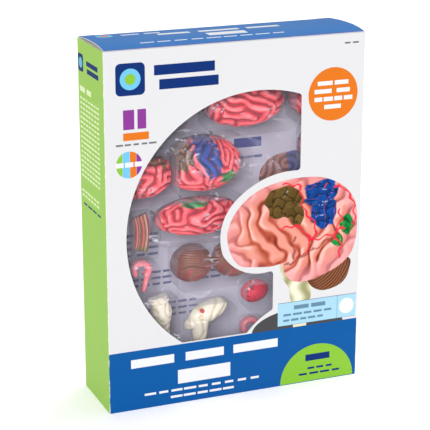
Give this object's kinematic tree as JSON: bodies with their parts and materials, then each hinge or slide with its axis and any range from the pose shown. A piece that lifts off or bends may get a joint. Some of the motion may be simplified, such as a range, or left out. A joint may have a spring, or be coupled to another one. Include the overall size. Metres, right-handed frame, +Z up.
{
  "type": "boxed brain anatomy model kit",
  "caption": "Upright windowed carton with a hinged tuck lid, holding a brain anatomy model in pieces in a clear formed tray, with a guide behind it.",
  "frame": {"origin": "centre of the carton's base, on the surface it stands on", "axes": "+X to the right along the windowed front, +Y from the front to the back, +Z up"},
  "size_m": [0.228, 0.066, 0.3082],
  "materials": {
    "printed_card": "coated carton board with a satin print, white front, green side, blue band",
    "lid_card": "coated carton board with a satin blue print",
    "clear_tray": "clear thermoformed sheet, glossy",
    "clear_cover": "thin clear sheet, glossy, slightly wavy",
    "guide_paper": "satin printed paper",
    "lobe_plastic": "painted semi-soft plastic, pink with red folds, satin",
    "cerebellum_plastic": "painted plastic, brown with red vessels, satin",
    "stem_plastic": "painted plastic, ivory, satin",
    "fibre_plastic": "painted plastic with striped fibres, satin",
    "fornix_plastic": "painted plastic, pink, satin",
    "ganglia_plastic": "painted plastic, crimson, satin",
    "ventricle_plastic": "painted plastic, blue, satin",
    "stand_plastic": "moulded black plastic"
  },
  "bodies": {
    "root": {"carton": "printed_card", "tray": "clear_tray", "tray_cover": "clear_cover", "guide": "guide_paper", "left_parietal_lobe": "lobe_plastic", "right_parietal_lobe": "lobe_plastic", "left_frontal_lobe": "lobe_plastic", "right_frontal_lobe": "lobe_plastic", "left_temporal_lobe": "lobe_plastic", "right_temporal_lobe": "lobe_plastic", "left_occipital_lobe": "lobe_plastic", "right_occipital_lobe": "lobe_plastic", "left_cerebellum": "cerebellum_plastic", "right_cerebellum": "cerebellum_plastic", "left_brain_stem": "stem_plastic", "right_brain_stem": "stem_plastic", "left_fibre_fan": "fibre_plastic", "right_fibre_fan": "fibre_plastic", "left_fornix": "fornix_plastic", "right_fornix": "fornix_plastic", "left_basal_ganglia": "ganglia_plastic", "right_basal_ganglia": "ganglia_plastic", "left_thalamus": "stem_plastic", "right_thalamus": "stem_plastic", "left_insula": "lobe_plastic", "right_insula": "lobe_plastic", "left_ventricle": "ventricle_plastic", "right_ventricle": "ventricle_plastic", "left_corpus_callosum": "stem_plastic", "right_corpus_callosum": "stem_plastic", "left_optic_nerve": "stem_plastic", "right_optic_nerve": "stem_plastic", "artery_ring": "ganglia_plastic", "stand_post": "stand_plastic", "stand_base": "stand_plastic"},
    "lid": {"lid": "lid_card"}
  },
  "joints": [
    {"name": "lid_hinge", "type": "hinge", "parent": "root", "child": "lid", "pos_m": [0, -0.0327, 0.3057], "axis": [1, 0, 0], "range_deg": [0, 180]}
  ]
}
